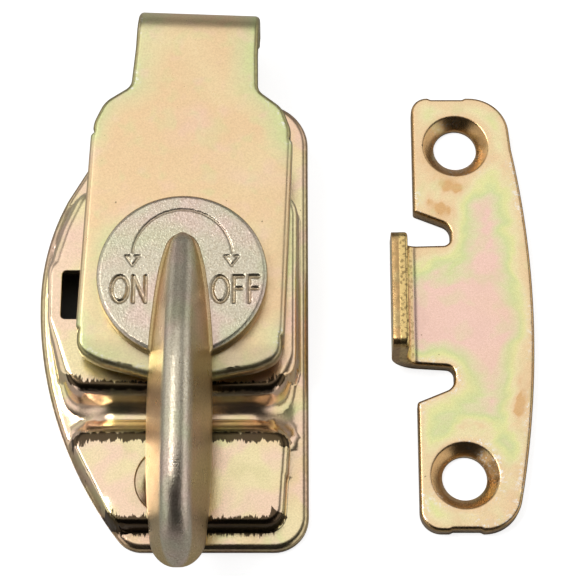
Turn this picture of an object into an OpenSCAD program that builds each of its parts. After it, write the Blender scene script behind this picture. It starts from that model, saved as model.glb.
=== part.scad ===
// Table-leaf lock: a turning lever with an eccentric draws a sliding hook over a separate strike plate.
// Millimetres. The origin is the lever's pivot axis where it meets the mounting surface:
// +Z stands up from that surface, +Y points to the hook, and the strike plate lies on the +X side.

/* [Housing] */
// Thickness of the housing's sheet steel
housing_t = 1.5; // [1.3:0.05:1.6]
// Reach of the bowed left edge from the pivot
bow_reach = 18.15; // [17.8:0.05:18.6]
// Reach of the straight right edge from the pivot
right_reach = 15.1; // [14.9:0.1:15.6]
// Reach of the head edge, under the hook
head_reach = 28; // [27:0.25:28.5]
// Reach of the tail edge
tail_reach = 30.7; // [30:0.1:31.5]
// Height of the pocket that holds the mechanism
pocket_h = 6; // [5.9:0.05:6.1]
// Height of the screw pad
pad_h = 4.6; // [4.2:0.1:4.8]
// Length of the window along the slide direction
window_l = 6.2; // [5.6:0.1:6.4]

/* [Screw holes] */
// Diameter of the screw holes
screw_d = 5.45; // [4.8:0.05:5.6]
// Diameter of the countersinks at the surface
sink_d = 8; // [7.6:0.1:8.4]
// Depth of the countersinks
sink_depth = 1.3; // [1.1:0.05:1.35]

/* [Hook plate] */
// Thickness of the hook plate's sheet steel
hook_t = 2; // [1.8:0.05:2]
// Width across the two side flanges
hook_w = 24.9; // [24.4:0.1:25.2]
// Width of the neck and the hook
neck_w = 15.5; // [14:0.1:16]
// Reach of the hook's nose from the pivot, at mid travel
hook_reach = 37.6; // [37:0.1:38.5]
// Height of the lip's end above the mounting surface
lip_end_h = 2.5; // [2.2:0.1:4]
// Backward lean of the lip, in degrees
lip_lean = 12; // [0:1:14]
// Turn of the hook plate about the pivot, clockwise within its play, in degrees
skew = 2.2; // [0:0.1:2.2]

/* [Lever] */
// Diameter of the lever's disc
knob_d = 20.32; // [20.2:0.02:21]
// Height of the disc
knob_h = 2.35; // [2.1:0.05:2.5]
// Reach of the lever's tip from the pivot
lever_reach = 35; // [33:0.5:36]
// Eccentricity of the cam
throw = 2.6; // [2.3:0.05:2.6]
// Diameter of the cam
cam_d = 11.2; // [11:0.05:11.2]
// Diameter of the pivot post
post_d = 4.4; // [4:0.1:4.4]

/* [Strike plate] */
// Thickness of the strike plate's sheet steel
strike_t = 2; // [1.8:0.1:2.2]
// Overall length of the strike plate
strike_l = 56.9; // [56:0.1:58]
// Distance between the strike plate's two screw holes
strike_pitch = 43.3; // [42.5:0.1:44]
// Height of the catch tab above the mounting surface
tab_h = 8; // [7:0.1:8.2]
// Width of the catch tab
tab_w = 15.6; // [15:0.1:15.8]

/* [Hidden] */
$fn = 64;
FINE = 6; // steps in each rounded corner of an outline
CUT = 1;  // how far a cutter runs past the face it opens

// Heights of the stack, from the housing's roof up to the lever's disc.
roof_in = pocket_h - housing_t;
running = 0.05;                       // clearance between sliding faces and round the post
block_h = 2.75;
block_top = pocket_h + block_h;
hook_z = block_top + running;         // underside of the hook plate
hook_top = hook_z + hook_t;
knob_z = hook_top + running;          // underside of the lever's disc
knob_top = knob_z + knob_h;
post_r = post_d / 2;
cam_r = cam_d / 2;

// The stack below the roof, down to the riveted end of the post.
bush_r = 3.4;
bush_flange_r = 4.6;
bush_flange_h = 0.6;
bush_low = roof_in - bush_flange_h;
spring_top = bush_low - 0.03;
spring_h = 0.47;
stop_h = 1.2;
stop_top = spring_top - spring_h;
stop_low = stop_top - stop_h;
end_h = 0.7;
end_low = stop_low - end_h;
post_low = end_low - 0.9;             // the riveted end stays clear of the mounting surface

// The stop: a tab lanced from the window and bent down, between two shoulders of the stop plate.
window_x = -15;                       // outer end of the window
lance_x = -10.6;                      // outer face of the lanced tab
lance_w = 6;
lance_low = 1;
stop_small_r = 8.6;
stop_big_r = 10.2;
stop_half = 71;                       // half angle of the wide sector, in degrees

// The cam's slot allows for the slide moving evenly while the cam moves as a sine.
slot_gap = 0.5;
slot_r = cam_r + slot_gap;

// The side flanges of the hook plate and the block that guides them.
flange_from = -6.5;
flange_to = 19.3;
side_gap = 0.08;
guide_half = hook_w / 2 - hook_t - side_gap;
guide_from = -4;
guide_to = 12.5;
rivet_at = [7.2, 8.6];
rivet_r = 1.5;
rivet_head_r = 2.4;
rivet_head_h = 0.9;
swing = 2.2;                          // play each way of the block round the bush, limited by the rivets
rivet_play = norm(rivet_at) * sin(swing) + running;

// The screw pad and the strike plate.
pad_screw_at = [-1.4, -23];
strike_hole_x = 33.9;
strike_left = 28.35;
strike_bow_r = 124.4;
strike_bow_x = 42.95;
tab_x = 25.2;                         // outer face of the catch tab
tab_bend = 1.6;                       // inner radius of its bend
tab_y = 0.2;                          // middle of its width

// Outlines are lists of [x, y, corner radius], anticlockwise. A radius of 0 leaves the point as it is.
function unit(v) = v / norm(v);
function at(p) = [p[0], p[1]];
function corner(a, b, c, r) =
    let (u = unit(a - b), v = unit(c - b), half = acos(u * v) / 2, mid = b + unit(u + v) * r / sin(half),
         p = b + u * r / tan(half) - mid, q = b + v * r / tan(half) - mid,
         from = atan2(p[1], p[0]), turn = (atan2(q[1], q[0]) - from + 540) % 360 - 180)
    [for (k = [0:FINE]) mid + r * [cos(from + turn * k / FINE), sin(from + turn * k / FINE)]];
function rounded(o) =
    let (n = len(o))
    [for (i = [0:n - 1]) each o[i][2] == 0 ? [at(o[i])]
        : corner(at(o[(i + n - 1) % n]), at(o[i]), at(o[(i + 1) % n]), o[i][2])];
function inward(a, b) = let (d = unit(b - a)) [-d[1], d[0]];
function inset(o, d) =
    let (n = len(o))
    [for (i = [0:n - 1])
        let (a = at(o[(i + n - 1) % n]), b = at(o[i]), c = at(o[(i + 1) % n]), p = inward(a, b), q = inward(b, c),
             m = b + d * (p + q) / (1 + p * q))
        [m[0], m[1], o[i][2] == 0 ? 0 : max(o[i][2] - d, 0.3)]];
function arc(mid, r, from, to, steps) =
    [for (k = [0:steps]) let (a = from + (to - from) * k / steps) [mid[0] + r * cos(a), mid[1] + r * sin(a), 0]];

// The housing's outline: straight at the right, bowed in two arcs at the left, cut off at the head.
bow_y = 1.5;
bow_up_r = 30.3;
bow_down_r = 50.7;
housing_outline = concat(
    [[right_reach, -tail_reach, 4.2], [right_reach, head_reach, 6], [-7.6, head_reach, 3]],
    arc([bow_up_r - bow_reach, bow_y], bow_up_r, 154.5, 180, 6),
    arc([bow_down_r - bow_reach, bow_y], bow_down_r, 183, 216, 10),
    [[-6.6, -tail_reach, 3.6]]);
pocket_outline = [[13.4, 13.5, 3], [-14.7, 13.5, 2.5], [-16.4, -6, 6], [-13.6, -11.8, 1.6], [0, -12.4, 0],
                  [12.4, -11.4, 1.8], [13.4, -8.5, 1.8]];
pad_outline = [[12.4, -27.9, 2.5], [12.4, -17, 1.4], [-13.4, -17, 1.4], [-7.2, -27.9, 2]];

module rim(outline, d) {
    polygon(rounded(inset(outline, d)));
}

module screw_hole(top) {
    translate([0, 0, top - sink_depth]) cylinder(h = sink_depth, r1 = screw_d / 2, r2 = sink_d / 2);
    translate([0, 0, top - CUT]) mirror([0, 0, 1]) cylinder(h = top + CUT, d = screw_d);
    translate([0, 0, top - 0.001]) cylinder(h = CUT, d = sink_d);
}

// Stamped housing: a flange all round, a deep pocket over the mechanism and a shallow pad for a screw.
module base_plate() {
    color("#c9a66b") difference() {
        union() {
            linear_extrude(housing_t) polygon(rounded(housing_outline));
            linear_extrude(pocket_h) rim(pocket_outline, 0);
            linear_extrude(pad_h) rim(pad_outline, 0);
        }
        difference() {
            translate([0, 0, -CUT]) linear_extrude(roof_in + CUT) rim(pocket_outline, housing_t);
            translate([lance_x, -lance_w / 2, lance_low]) cube([housing_t, lance_w, pocket_h - lance_low]);
        }
        translate([0, 0, -CUT]) linear_extrude(pad_h - housing_t + CUT) rim(pad_outline, housing_t);
        translate([window_x, -window_l / 2, roof_in - CUT])
            cube([lance_x - window_x, window_l, housing_t + 2 * CUT]);
        translate([0, 0, roof_in - CUT]) cylinder(h = housing_t + 2 * CUT, r = bush_r);
        for (side = [-1, 1]) translate([side * rivet_at[0], rivet_at[1], roof_in - CUT])
            cylinder(h = housing_t + 2 * CUT, r = rivet_r);
        translate([pad_screw_at[0], pad_screw_at[1], 0]) screw_hole(pad_h);
    }
}

// Block on the housing's roof, between the hook plate's side flanges, that the plate slides along.
// It swivels on the bush as far as its loose holes allow, which gives the hook its side play.
module guide_block() {
    color("#b0b3b5") rotate(-skew) difference() {
        translate([-guide_half, guide_from, pocket_h]) cube([2 * guide_half, guide_to - guide_from, block_h]);
        translate([0, 0, pocket_h - CUT]) cylinder(h = block_h + 2 * CUT, r = bush_r + running);
        for (side = [-1, 1]) translate([side * rivet_at[0], rivet_at[1], pocket_h - CUT]) {
            cylinder(h = block_h + 2 * CUT, r = rivet_r + rivet_play);
            translate([0, 0, block_h - rivet_head_h + CUT - running])
                cylinder(h = rivet_head_h + CUT, r = rivet_head_r + rivet_play);
        }
    }
}

// Headed rivets: each head is sunk in the block with play, and each tail is set under the roof.
module guide_rivets() {
    color("#9ea1a3") for (side = [-1, 1]) translate([side * rivet_at[0], rivet_at[1], 0]) {
        translate([0, 0, roof_in - 0.7]) cylinder(h = 0.7, r = rivet_head_r);
        translate([0, 0, roof_in - 0.01]) cylinder(h = block_top - roof_in, r = rivet_r);
        translate([0, 0, block_top - rivet_head_h]) cylinder(h = rivet_head_h, r = rivet_head_r);
    }
}

// Flanged bush that carries the post through the roof and the block.
module bearing_bush() {
    color("#b08d57") difference() {
        union() {
            translate([0, 0, bush_low]) cylinder(h = bush_flange_h, r = bush_flange_r);
            translate([0, 0, bush_low]) cylinder(h = block_top - bush_low, r = bush_r);
        }
        translate([0, 0, bush_low - CUT]) cylinder(h = block_top - bush_low + 2 * CUT, r = post_r + running);
    }
}

// Outline of the hook plate's flat top, from the round tail to the start of the hook's bend.
hook_bend_r = 4.5;
hook_bend = [hook_reach - hook_bend_r, hook_top - hook_bend_r];
tail_y = -12.4;
hook_outline = [[neck_w / 2, hook_bend[0], 0], [-neck_w / 2, hook_bend[0], 0], [-neck_w / 2, 25.2, 3],
                [-11.2, 23, 2.5], [-hook_w / 2, 18, 0], [-hook_w / 2, -8.8, 2.6], [-7.5, -11.3, 8],
                [0, tail_y - 0.2, 12], [7.5, -11.3, 8], [hook_w / 2, -8.8, 2.6], [hook_w / 2, 18, 0],
                [11.2, 23, 2.5], [neck_w / 2, 25.2, 3]];

// Section of the turned-down end, as [y, z]: an even bend and a straight lip that leans back.
function bend_point(r, a) = [hook_bend[0] + r * cos(a), hook_bend[1] + r * sin(a)];
function lip_point(r) =
    let (p = bend_point(r, -lip_lean)) [p[0] - (p[1] - lip_end_h) * tan(lip_lean), lip_end_h];
hook_section = concat(
    [for (k = [0:10]) bend_point(hook_bend_r, 90 - k * (90 + lip_lean) / 10)],
    [lip_point(hook_bend_r), lip_point(hook_bend_r - hook_t)],
    [for (k = [10:-1:0]) bend_point(hook_bend_r - hook_t, 90 - k * (90 + lip_lean) / 10)]);

// Section across a side flange, as [x, z], with the bend's outer radius at the top.
flange_bend_r = 1.2;
flange_section = concat(
    [[hook_w / 2 - hook_t, hook_z + 0.5], [hook_w / 2 - hook_t, pocket_h + running],
     [hook_w / 2, pocket_h + running]],
    [for (k = [0:6]) [hook_w / 2 - flange_bend_r * (1 - cos(15 * k)),
                      hook_top - flange_bend_r * (1 - sin(15 * k))]],
    [[hook_w / 2 - hook_t, hook_top]]);

// Sliding hook: a plate with two side flanges, a slot for the cam, a neck and a turned-down hook.
module hook_plate() {
    color("#d8b98a") rotate(-skew) difference() {
        union() {
            difference() {
                translate([0, 0, hook_z]) linear_extrude(hook_t) polygon(rounded(hook_outline));
                for (side = [0, 1]) mirror([side, 0, 0])
                    translate([hook_w / 2 - hook_t, flange_from, hook_z - CUT])
                        cube([hook_t + CUT, flange_to - flange_from, hook_t + 2 * CUT]);
            }
            for (side = [0, 1]) mirror([side, 0, 0])
                translate([0, flange_to, 0]) rotate([90, 0, 0])
                    linear_extrude(flange_to - flange_from) polygon(flange_section);
            translate([-neck_w / 2, 0, 0]) rotate([90, 0, 90]) linear_extrude(neck_w) polygon(hook_section);
        }
        for (x = [-throw, 0]) translate([x, 0, hook_z - CUT]) cylinder(h = hook_t + 2 * CUT, r = slot_r);
        translate([-throw, -slot_r, hook_z - CUT]) cube([throw, 2 * slot_r, hook_t + 2 * CUT]);
    }
}

// Stations along the lever: [distance from the pivot, top, underside, half width, ridge radius].
under = knob_top - 1.1;
stations = [[-5, knob_top - 0.1, under, 1.3, 1.2], [-1.5, 15.2, under, 2.3, 1.6],
            [3, 17.6, under, 3, 1.75], [9, 20.7, under, 3.45, 1.75], [16, 21, 12.4, 3.85, 1.75],
            [26, 20.2, 11.6, 3.75, 1.75], [lever_reach - 3, 16, 9.9, 3.1, 1.7],
            [lever_reach, 12, 9.3, 1.7, 1.2]];

module lever_section(s) {
    ridge = [for (a = [15:25:165]) [s[4] * cos(a), s[1] - s[4] + s[4] * sin(a)]];
    translate([0, -s[0], 0]) rotate([90, 0, 0]) linear_extrude(0.02)
        polygon(concat([[-s[3], s[2]], [s[3], s[2]]], ridge));
}

// Cast lever and its disc, with a blind hole for the post.
module lever() {
    color("#aaa79c") difference() {
        union() {
            translate([0, 0, knob_z]) cylinder(h = knob_h, d = knob_d);
            for (i = [0:len(stations) - 2]) hull() {
                lever_section(stations[i]);
                lever_section(stations[i + 1]);
            }
        }
        translate([0, 0, knob_z - CUT]) cylinder(h = CUT + knob_h - 0.8, r = post_r);
    }
}

// Eccentric under the disc: it stands to the left of the post while the lever points to the tail.
module cam_disc() {
    color("#8f9294") difference() {
        translate([-throw, 0, block_top + 0.03]) cylinder(h = knob_z - block_top - 0.03, r = cam_r);
        translate([0, 0, block_top - CUT]) cylinder(h = knob_z - block_top + 2 * CUT, r = post_r);
    }
}

module pivot_post() {
    color("#8a8c8e") union() {
        translate([0, 0, post_low]) cylinder(h = end_low - post_low, r = post_r + 1);
        translate([0, 0, post_low]) cylinder(h = knob_z + knob_h - 0.8 - post_low, r = post_r);
    }
}

module ring(low, height, outer) {
    translate([0, 0, low]) difference() {
        cylinder(h = height, r = outer);
        translate([0, 0, -CUT]) cylinder(h = height + 2 * CUT, r = post_r);
    }
}

module spring_washer() {
    color("#707376") ring(stop_top, spring_h, bush_flange_r);
}

// Stop plate fixed to the post: its wide sector turns until a shoulder meets the housing's lanced tab.
module stop_plate() {
    fan = concat([[0, 0]], [for (k = [-12:12]) 1.5 * stop_big_r * [cos(stop_half * k / 12), sin(stop_half * k / 12)]]);
    color("#7c7f82") union() {
        ring(stop_low, stop_h, stop_small_r);
        intersection() {
            ring(stop_low, stop_h, stop_big_r);
            translate([0, 0, stop_low - CUT]) linear_extrude(stop_h + 2 * CUT) polygon(fan);
        }
    }
}

module end_washer() {
    color("#97999c") ring(end_low, end_h, post_r + 2);
}

// The strike plate's outline: straight at the left, bowed at the right, with a relief each side of the tab.
strike_half = strike_l / 2;
bow_mid = [strike_bow_x - strike_bow_r, -0.8];
strike_outline = concat(
    [[39.9, -strike_half, 4.6]],
    arc(bow_mid, strike_bow_r, -10.4, 10.2, 12),
    [[40.3, strike_half, 5], [29.6, strike_half, 0], [strike_left, strike_half - 1.7, 0],
     [strike_left, 12.6, 0], [32.9, 10.75, 1.4], [32.9, tab_y + tab_w / 2, 0.8],
     [tab_x + strike_t + tab_bend, tab_y + tab_w / 2, 0], [tab_x + strike_t + tab_bend, tab_y - tab_w / 2, 0],
     [32.9, tab_y - tab_w / 2, 0.8], [32.9, -10.5, 1.4], [strike_left, -12.4, 0],
     [strike_left, -strike_half + 2.2, 0], [30.2, -strike_half, 0]]);

// Section of the tab, as [x, z]: a square bend up from the plate.
function tab_arc(r, from, to) =
    let (m = tab_x + strike_t + tab_bend)
    [for (k = [0:8]) let (a = from + (to - from) * k / 8) [m + r * cos(a), strike_t + tab_bend + r * sin(a)]];
tab_section = concat(
    [[tab_x + strike_t + tab_bend + 0.5, 0]], [[tab_x + strike_t + tab_bend + 0.5, strike_t]],
    tab_arc(tab_bend, 270, 180), [[tab_x + strike_t, tab_h], [tab_x, tab_h]],
    tab_arc(tab_bend + strike_t, 180, 270));

// Strike plate with two countersunk holes and an upright tab that the hook pulls on.
module strike_plate() {
    color("#d9c08f") difference() {
        union() {
            linear_extrude(strike_t) polygon(rounded(strike_outline));
            translate([0, tab_y + tab_w / 2, 0]) rotate([90, 0, 0]) linear_extrude(tab_w) polygon(tab_section);
        }
        for (side = [-1, 1]) translate([strike_hole_x, side * strike_pitch / 2, 0]) screw_hole(strike_t);
    }
}

base_plate();
guide_block();
guide_rivets();
bearing_bush();
hook_plate();
lever();
cam_disc();
pivot_post();
spring_washer();
stop_plate();
end_washer();
strike_plate();
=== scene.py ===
import math

import bpy
import numpy as np
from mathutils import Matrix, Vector
from mathutils.geometry import delaunay_2d_cdt


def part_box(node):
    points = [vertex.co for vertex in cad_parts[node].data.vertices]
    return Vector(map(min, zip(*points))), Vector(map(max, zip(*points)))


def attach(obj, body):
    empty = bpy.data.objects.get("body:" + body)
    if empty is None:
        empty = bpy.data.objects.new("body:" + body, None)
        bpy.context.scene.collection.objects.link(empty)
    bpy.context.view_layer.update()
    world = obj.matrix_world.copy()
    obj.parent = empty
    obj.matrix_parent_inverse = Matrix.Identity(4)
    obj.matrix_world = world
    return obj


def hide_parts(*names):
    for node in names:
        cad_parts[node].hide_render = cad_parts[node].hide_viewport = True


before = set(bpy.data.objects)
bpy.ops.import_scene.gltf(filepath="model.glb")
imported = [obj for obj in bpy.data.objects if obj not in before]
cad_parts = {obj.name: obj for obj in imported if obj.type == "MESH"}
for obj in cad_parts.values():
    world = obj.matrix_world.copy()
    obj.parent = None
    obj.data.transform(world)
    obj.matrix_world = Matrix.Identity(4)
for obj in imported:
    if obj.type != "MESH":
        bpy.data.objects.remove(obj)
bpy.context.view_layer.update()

# A table-leaf lock in yellow zinc-chromate plate. Lengths here are in millimetres until MM turns them
# into metres. X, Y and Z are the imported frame's, and the CAD nodes give the heights and reaches.
MM = 0.001


def span(node, axis):
    """Lowest and highest place of a CAD node along an axis, in millimetres."""
    low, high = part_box(node)
    return low[axis] / MM, high[axis] / MM


# ---------------------------------------------------------------- outlines

def arc(cx, cy, r, start, end, step=0.3):
    """Points round a circle from one angle to another, in degrees, either way round."""
    n = max(2, math.ceil(abs(math.radians(end - start)) * r / step))
    a = np.radians(np.linspace(start, end, n + 1))
    return [(cx + r * math.cos(t), cy + r * math.sin(t), 0) for t in a]


def rounded(corners, step=0.35):
    """A closed outline from (x, y, corner radius), with arcs at the corners and its straights divided."""
    pts = [np.array(c[:2], float) for c in corners]
    out = []
    for i, c in enumerate(corners):
        before, here, after = pts[i - 1], pts[i], pts[(i + 1) % len(pts)]
        if c[2] == 0:
            out.append(here)
            continue
        u = (before - here) / np.linalg.norm(before - here)
        v = (after - here) / np.linalg.norm(after - here)
        half = math.acos(np.clip(u @ v, -1, 1)) / 2
        mid = here + (u + v) / np.linalg.norm(u + v) * c[2] / math.sin(half)
        p, q = here + u * c[2] / math.tan(half) - mid, here + v * c[2] / math.tan(half) - mid
        start = math.atan2(p[1], p[0])
        turn = (math.atan2(q[1], q[0]) - start + 3 * math.pi) % (2 * math.pi) - math.pi
        n = max(3, math.ceil(abs(turn) * c[2] / min(step, 0.25 * c[2] + 0.05)))
        out += [mid + c[2] * np.array([math.cos(start + turn * k / n), math.sin(start + turn * k / n)])
                for k in range(n + 1)]
    dense = []
    for a, b in zip(out, out[1:] + out[:1]):
        n = max(1, round(np.linalg.norm(b - a) / step))
        dense += [a + (b - a) * k / n for k in range(n)]
    return np.array(dense)


def circle(cx, cy, r, step=0.3):
    """A clockwise circle, as the outline of a hole."""
    n = max(24, round(2 * math.pi * r / step))
    a = -np.arange(n) * 2 * math.pi / n
    return np.c_[cx + r * np.cos(a), cy + r * np.sin(a)]


def inward(loop):
    """At each point, the offset into the material for a unit inset. The material is on the loop's left."""
    d = np.roll(loop, -1, 0) - loop
    d /= np.linalg.norm(d, axis=1)[:, None]
    n = np.c_[-d[:, 1], d[:, 0]]
    before = np.roll(n, 1, 0)
    return (n + before) / np.maximum(1 + np.sum(n * before, axis=1), 0.3)[:, None]


def distance(p, loop):
    """Distance from each point to a closed outline."""
    a, b = loop, np.roll(loop, -1, 0)
    ab = b - a
    best = np.full(len(p), np.inf)
    for s in range(0, len(p), 4000):
        q = p[s:s + 4000, None]
        t = np.clip(np.sum((q - a) * ab, -1) / np.maximum(np.sum(ab * ab, -1), 1e-12), 0, 1)
        best[s:s + 4000] = np.linalg.norm(q - a - t[..., None] * ab, axis=-1).min(1)
    return best


def inside(p, loop):
    """True where a point is inside a closed outline."""
    hit = np.zeros(len(p), bool)
    x, y = p[:, 0], p[:, 1]
    for (ax, ay), (bx, by) in zip(loop, np.roll(loop, -1, 0)):
        if ay != by:
            hit ^= ((ay > y) != (by > y)) & (x < (bx - ax) * (y - ay) / (by - ay) + ax)
    return hit


# ---------------------------------------------------------------- meshes

PLAIN = 0.12                     # how far the rim of a punched hole is rolled over
GUARD_INSET = 0.2                # from a face's edge to its row of guard points
GUARD_GAP, POINT_GAP = 0.12, 0.42    # least distance of a guard or an inner point from an edge
HOLE_MARK = 0.4                  # how dark a hole's cut edge is beside the outline's
FULL_MARK_DEPTH = 0.1            # depth on an edge by which its mark is at full strength


def keep_values(mesh, name, numbers):
    """Keeps a number at each vertex, for the materials to read."""
    values = np.asarray(numbers, np.float32)
    mesh.attributes.new(name, "FLOAT", "POINT").data.foreach_set("value", values)


def new_object(name, verts, faces, **values):
    """A smooth-shaded mesh object from millimetres. Each of values is kept as a vertex attribute."""
    mesh = bpy.data.meshes.new(name)
    mesh.from_pydata((np.asarray(verts) * MM).tolist(), [], faces)
    mesh.validate()
    mesh.shade_smooth()
    for key, numbers in values.items():
        keep_values(mesh, key, numbers)
    obj = bpy.data.objects.new(name, mesh)
    bpy.context.scene.collection.objects.link(obj)
    return obj


def fill(rings, points, guards):
    """Triangles that fill the first ring, leaving the others as holes. Returns all points and the faces.
    points are inner points, and guards are a second row close behind the rings."""
    edges, verts = [], []
    for ring in rings:
        n = len(verts)
        verts += ring.tolist()
        edges += [(n + i, n + (i + 1) % len(ring)) for i in range(len(ring))]
    for group, clear in ((points, POINT_GAP), (guards, GUARD_GAP)):
        keep = inside(group, rings[0]) & (distance(group, rings[0]) > clear)
        for hole in rings[1:]:
            keep &= ~inside(group, hole) & (distance(group, hole) > clear)
        verts += group[keep].tolist()
    xy, _, tris = delaunay_2d_cdt(verts, edges, [], 0, 1e-7)[:3]
    xy = np.array([tuple(v) for v in xy])
    tris = np.array(tris)
    mid = xy[tris].mean(1)
    good = inside(mid, rings[0])
    for hole in rings[1:]:
        good &= ~inside(mid, hole)
    tris = tris[good]
    a, b, c = xy[tris[:, 0]], xy[tris[:, 1]], xy[tris[:, 2]]
    back = (b[:, 0] - a[:, 0]) * (c[:, 1] - a[:, 1]) - (b[:, 1] - a[:, 1]) * (c[:, 0] - a[:, 0]) < 0
    tris[back] = tris[back][:, ::-1]
    return xy, tris


def sheet(name, loops, points, place):
    """A sheet-metal piece. Each loop is (outline, profile), and a profile is a list of (inset, depth) from
    the top face round the edge to the bottom face. points are the inner points of the top and bottom faces.
    place turns flat x, y and depth into a point. Edges are marked, and inner is the distance from them."""
    verts, faces, marks = [], [], []
    ends = {}
    for key, pick in (("top", 0), ("bottom", -1)):
        rings = [loop + inward(loop) * profile[pick][0] for loop, profile in loops]
        guards = [loop + inward(loop) * (profile[pick][0] + GUARD_INSET) for loop, profile in loops]
        xy, tris = fill(rings, points[pick], np.vstack(guards))
        start = len(verts)
        depth = loops[0][1][pick][1]
        verts += np.c_[xy, np.full(len(xy), depth)].tolist()
        marks += [0.0] * len(xy)
        faces += (tris + start if key == "top" else tris[:, ::-1] + start).tolist()
        ends[key] = start
    offset = 0
    for number, (loop, profile) in enumerate(loops):
        n = len(loop)
        move = inward(loop)
        most = HOLE_MARK if number else 1.0
        ring = [ends["top"] + offset + i for i in range(n)]
        for inset, depth in profile[1:-1]:
            start = len(verts)
            verts += np.c_[loop + move * inset, np.full(n, depth)].tolist()
            marks += [min(1.0, depth / FULL_MARK_DEPTH) * most] * n
            after = list(range(start, start + n))
            faces += [(ring[i], after[i], after[(i + 1) % n], ring[(i + 1) % n]) for i in range(n)]
            ring = after
        after = [ends["bottom"] + offset + i for i in range(n)]
        faces += [(ring[i], after[i], after[(i + 1) % n], ring[(i + 1) % n]) for i in range(n)]
        offset += n
    flat = np.array(verts)
    inner = np.min([distance(flat[:, :2], loop) for loop, _ in loops], axis=0) * (np.array(marks) == 0)
    return new_object(name, place(flat[:, 0], flat[:, 1], flat[:, 2]), faces, mark=marks, inner=inner)


def edge_profile(thick, roll, burr=0.06):
    """A stamped edge: rolled over at the top face, sheared, torn below that, and broken at the bottom."""
    over = [(roll * (1 - math.sin(a)), roll * (1 - math.cos(a))) for a in np.radians([0, 22, 45, 68, 90])]
    return over + [(0, thick * 0.5), (0.02, thick * 0.58), (0.02, thick - burr), (burr, thick)]


def sink_profile(thick, sink_r, hole_r, depth, lip=0.3):
    """A countersink on a loop of radius sink_r, from a rounded lip down a cone to a straight hole."""
    run = sink_r - hole_r
    land = min(depth + 0.07, thick - 0.12)
    return [(lip, 0), (lip * 0.45, lip * 0.1), (0, lip * 0.45), (-run * 0.5, (depth + lip * 0.45) / 2),
            (-run * 0.94, depth - 0.05), (-run, land), (-run, thick - 0.06), (-run + 0.05, thick)]


# ---------------------------------------------------------------- materials

PEACH, COPPER, OLIVE = (0.92, 0.67, 0.40), (0.78, 0.48, 0.22), (0.66, 0.62, 0.30)
PINK, LIME, STRAW = (0.97, 0.66, 0.55), (0.74, 0.78, 0.39), (0.93, 0.80, 0.47)
# The last brown is painted shade, laid on the bends beside the trough and at the pad's ends.
GRAIN_BROWN, PIT_BROWN, PAINTED_SHADE_BROWN = (0.45, 0.36, 0.24), (0.16, 0.10, 0.05), (0.05, 0.03, 0.012)
RUBBED = (0.97, 0.94, 0.86)

# The film's colours from a plate's edges in: how far in they reach, in mm, how far they wander, and stops.
STRIKE_FILM = (6.6, 0.5, [(0.0, COPPER), (0.05, PEACH), (0.2, STRAW), (0.34, (0.86, 0.84, 0.40)),
                          (0.5, LIME), (0.64, (0.84, 0.76, 0.47)), (0.85, PINK)])
HOOK_FILM = (4.6, 0.32, [(0.0, OLIVE), (0.1, LIME), (0.3, (0.80, 0.74, 0.42)), (0.6, (0.88, 0.72, 0.42)),
                         (0.95, PEACH)])


def shader_tree(name):
    """A new material, its node tree and its shader."""
    mat = bpy.data.materials.new(name)
    mat.use_nodes = True
    tree = mat.node_tree
    return mat, tree, tree.nodes["Principled BSDF"]


def ramp(tree, factor, stops):
    """A colour ramp over (position, (r, g, b)) stops."""
    node = tree.nodes.new("ShaderNodeValToRGB")
    band = node.color_ramp
    while len(band.elements) < len(stops):
        band.elements.new(0.5)
    for element, (at, colour) in zip(band.elements, stops):
        element.position = at
        element.color = (*colour, 1)
    tree.links.new(factor, node.inputs["Fac"])
    return node.outputs["Color"]


def noise(tree, vector, scale, detail=3.0, rough=0.5, warp=0.0):
    """Noise about 0.5, with scale in features per metre."""
    node = tree.nodes.new("ShaderNodeTexNoise")
    node.inputs["Scale"].default_value = scale
    node.inputs["Detail"].default_value = detail
    node.inputs["Roughness"].default_value = rough
    node.inputs["Distortion"].default_value = warp
    tree.links.new(vector, node.inputs["Vector"])
    return node.outputs["Fac"]


def maths(tree, kind, a, b=0.5, c=0.5):
    """A sum of sockets or plain numbers."""
    node = tree.nodes.new("ShaderNodeMath")
    node.operation = kind
    for socket, value in zip(node.inputs, (a, b, c)):
        if isinstance(value, (int, float)):
            socket.default_value = value
        else:
            tree.links.new(value, socket)
    return node.outputs[0]


def mixed(tree, factor, a, b, blend="MIX"):
    """Two colours mixed. factor, a and b are sockets or plain values."""
    node = tree.nodes.new("ShaderNodeMix")
    node.data_type = "RGBA"
    node.blend_type = blend
    for socket, value in ((node.inputs["Factor"], factor), (node.inputs[6], a), (node.inputs[7], b)):
        if isinstance(value, bpy.types.NodeSocket):
            tree.links.new(value, socket)
        elif isinstance(value, tuple):
            socket.default_value = (*value, 1)
        else:
            socket.default_value = value
    return node.outputs[2]


def spread(tree, value, low, high, to_low, to_high):
    """A value's range from low to high stretched to another range."""
    node = tree.nodes.new("ShaderNodeMapRange")
    for key, number in (("From Min", low), ("From Max", high), ("To Min", to_low), ("To Max", to_high)):
        node.inputs[key].default_value = number
    tree.links.new(value, node.inputs["Value"])
    return node.outputs["Result"]


def smooth(tree, value, low, high):
    """0 below low, 1 above high, and eased between."""
    node = tree.nodes.new("ShaderNodeMapRange")
    node.interpolation_type = "SMOOTHSTEP"
    node.inputs["From Min"].default_value = low
    node.inputs["From Max"].default_value = high
    tree.links.new(value, node.inputs["Value"])
    return node.outputs["Result"]


def tinted(tree, place, colour, tint, scale, low, high, seed, amount=1.0):
    """Soft-edged patches of a tint over a colour."""
    shifted = tree.nodes.new("ShaderNodeMapping")
    shifted.inputs["Location"].default_value = (seed, seed * 0.7, seed * 1.3)
    tree.links.new(place, shifted.inputs["Vector"])
    patch = smooth(tree, noise(tree, shifted.outputs[0], scale, detail=1.5, rough=0.45, warp=0.3), low, high)
    return mixed(tree, maths(tree, "MULTIPLY", patch, amount), colour, tint)


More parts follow.
